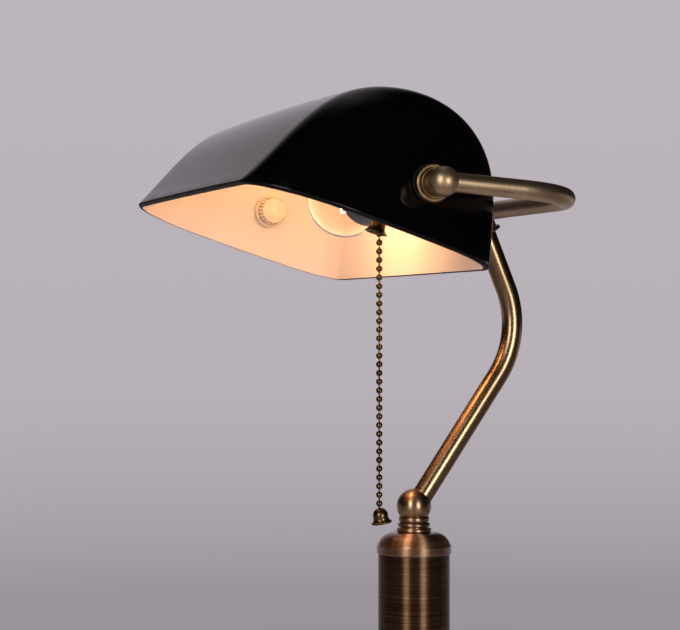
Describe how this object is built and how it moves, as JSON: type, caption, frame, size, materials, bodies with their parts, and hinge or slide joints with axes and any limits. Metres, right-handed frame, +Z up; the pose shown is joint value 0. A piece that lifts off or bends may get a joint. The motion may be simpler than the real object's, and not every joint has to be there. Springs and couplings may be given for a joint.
{
  "type": "banker desk lamp",
  "caption": "Desk lamp with a tilting black glass trough shade in a bent tube yoke, a swivel stem on a round column and weighted base, and a pull-chain switch.",
  "frame": {"origin": "centre of the felt face that rests on the table, on the column axis", "axes": "+Z up the column, -Y to the front where the shade opens, +X to the lampholder end of the shade"},
  "size_m": [0.2606, 0.2093, 0.3841],
  "materials": {
    "felt": "dense dark felt",
    "aged_brass": "aged brass, dark patina rubbed bright on the edges",
    "ballast_iron": "rough cast, painted black",
    "plain_steel": "zinc plated",
    "black_rubber": "soft moulded rubber",
    "black_glass": "gloss black cased glass, white inside",
    "ivory_plastic": "ivory moulding, satin",
    "black_plastic": "moulded phenolic, satin black",
    "contact_brass": "bright pressed brass",
    "chain_brass": "aged brass ball chain",
    "clear_glass": "clear blown glass",
    "cap_metal": "bright rolled cap",
    "filament_wire": "glowing wire"
  },
  "bodies": {
    "base": {"felt_pad": "felt", "base_shell": "aged_brass", "base_weight": "ballast_iron", "cord_grommet": "black_rubber", "rod_washer": "plain_steel", "rod_nut": "plain_steel", "tie_rod": "plain_steel", "foot_ring": "aged_brass", "column_tube": "aged_brass", "column_cap": "aged_brass", "neck_collar": "aged_brass", "swivel_washer": "black_rubber", "swivel_nipple": "plain_steel"},
    "arm": {"stem_ball": "aged_brass", "stem_tube": "aged_brass", "stem_collar": "aged_brass", "yoke_hub": "aged_brass", "yoke_tube": "aged_brass", "yoke_ball_right": "aged_brass", "yoke_ball_left": "aged_brass", "friction_ring_right": "aged_brass", "friction_ring_left": "aged_brass"},
    "shade": {"glass_shade": "black_glass", "pivot_flange_right": "aged_brass", "pivot_flange_left": "aged_brass", "outer_gasket_right": "black_rubber", "outer_gasket_left": "black_rubber", "inner_gasket_right": "black_rubber", "inner_gasket_left": "black_rubber", "pivot_nipple": "plain_steel", "pivot_stud": "plain_steel", "thumb_nut": "ivory_plastic", "holder_cap": "black_plastic", "holder_body": "black_plastic", "nose_sleeve": "black_plastic", "contact_block": "black_plastic", "switch_block": "black_plastic", "screw_shell": "contact_brass", "centre_contact": "contact_brass", "chain_outlet": "aged_brass", "bulb_glass": "clear_glass", "bulb_cap": "cap_metal", "bulb_insulator": "black_plastic", "bulb_contact": "contact_brass", "bulb_stem": "clear_glass", "filament": "filament_wire"},
    "switch_pull": {"pull_link": "chain_brass"},
    "chain_lead": {"chain_lead": "chain_brass"},
    "pull_chain": {"pull_chain": "chain_brass", "bell_pull": "chain_brass"}
  },
  "joints": [
    {"name": "arm_swivel", "type": "hinge", "parent": "base", "child": "arm", "pos_m": [0, 0, 0.17], "axis": [0, 0, 1], "range_deg": [-90, 90]},
    {"name": "shade_tilt", "type": "hinge", "parent": "arm", "child": "shade", "pos_m": [0, -0.0414, 0.33633], "axis": [1, 0, 0], "range_deg": [-35, 55]},
    {"name": "chain_pull", "type": "slide", "parent": "shade", "child": "switch_pull", "axis": [0, -0.3052, -0.9523], "range_m": [0, 0.006], "stiffness_N_per_m": 300, "springref_m": -0.01},
    {"name": "chain_hang", "type": "hinge", "parent": "switch_pull", "child": "chain_lead", "pos_m": [0.06063, -0.04609, 0.31547], "axis": [1, 0, 0], "range_deg": [-55, 35]},
    {"name": "chain_swing", "type": "hinge", "parent": "chain_lead", "child": "pull_chain", "pos_m": [0.06063, -0.04609, 0.31128], "axis": [0, 1, 0], "range_deg": [-20, 20]}
  ],
  "couplings": [
    {"joint": "chain_hang", "follows": "shade_tilt", "ratio": -1}
  ]
}
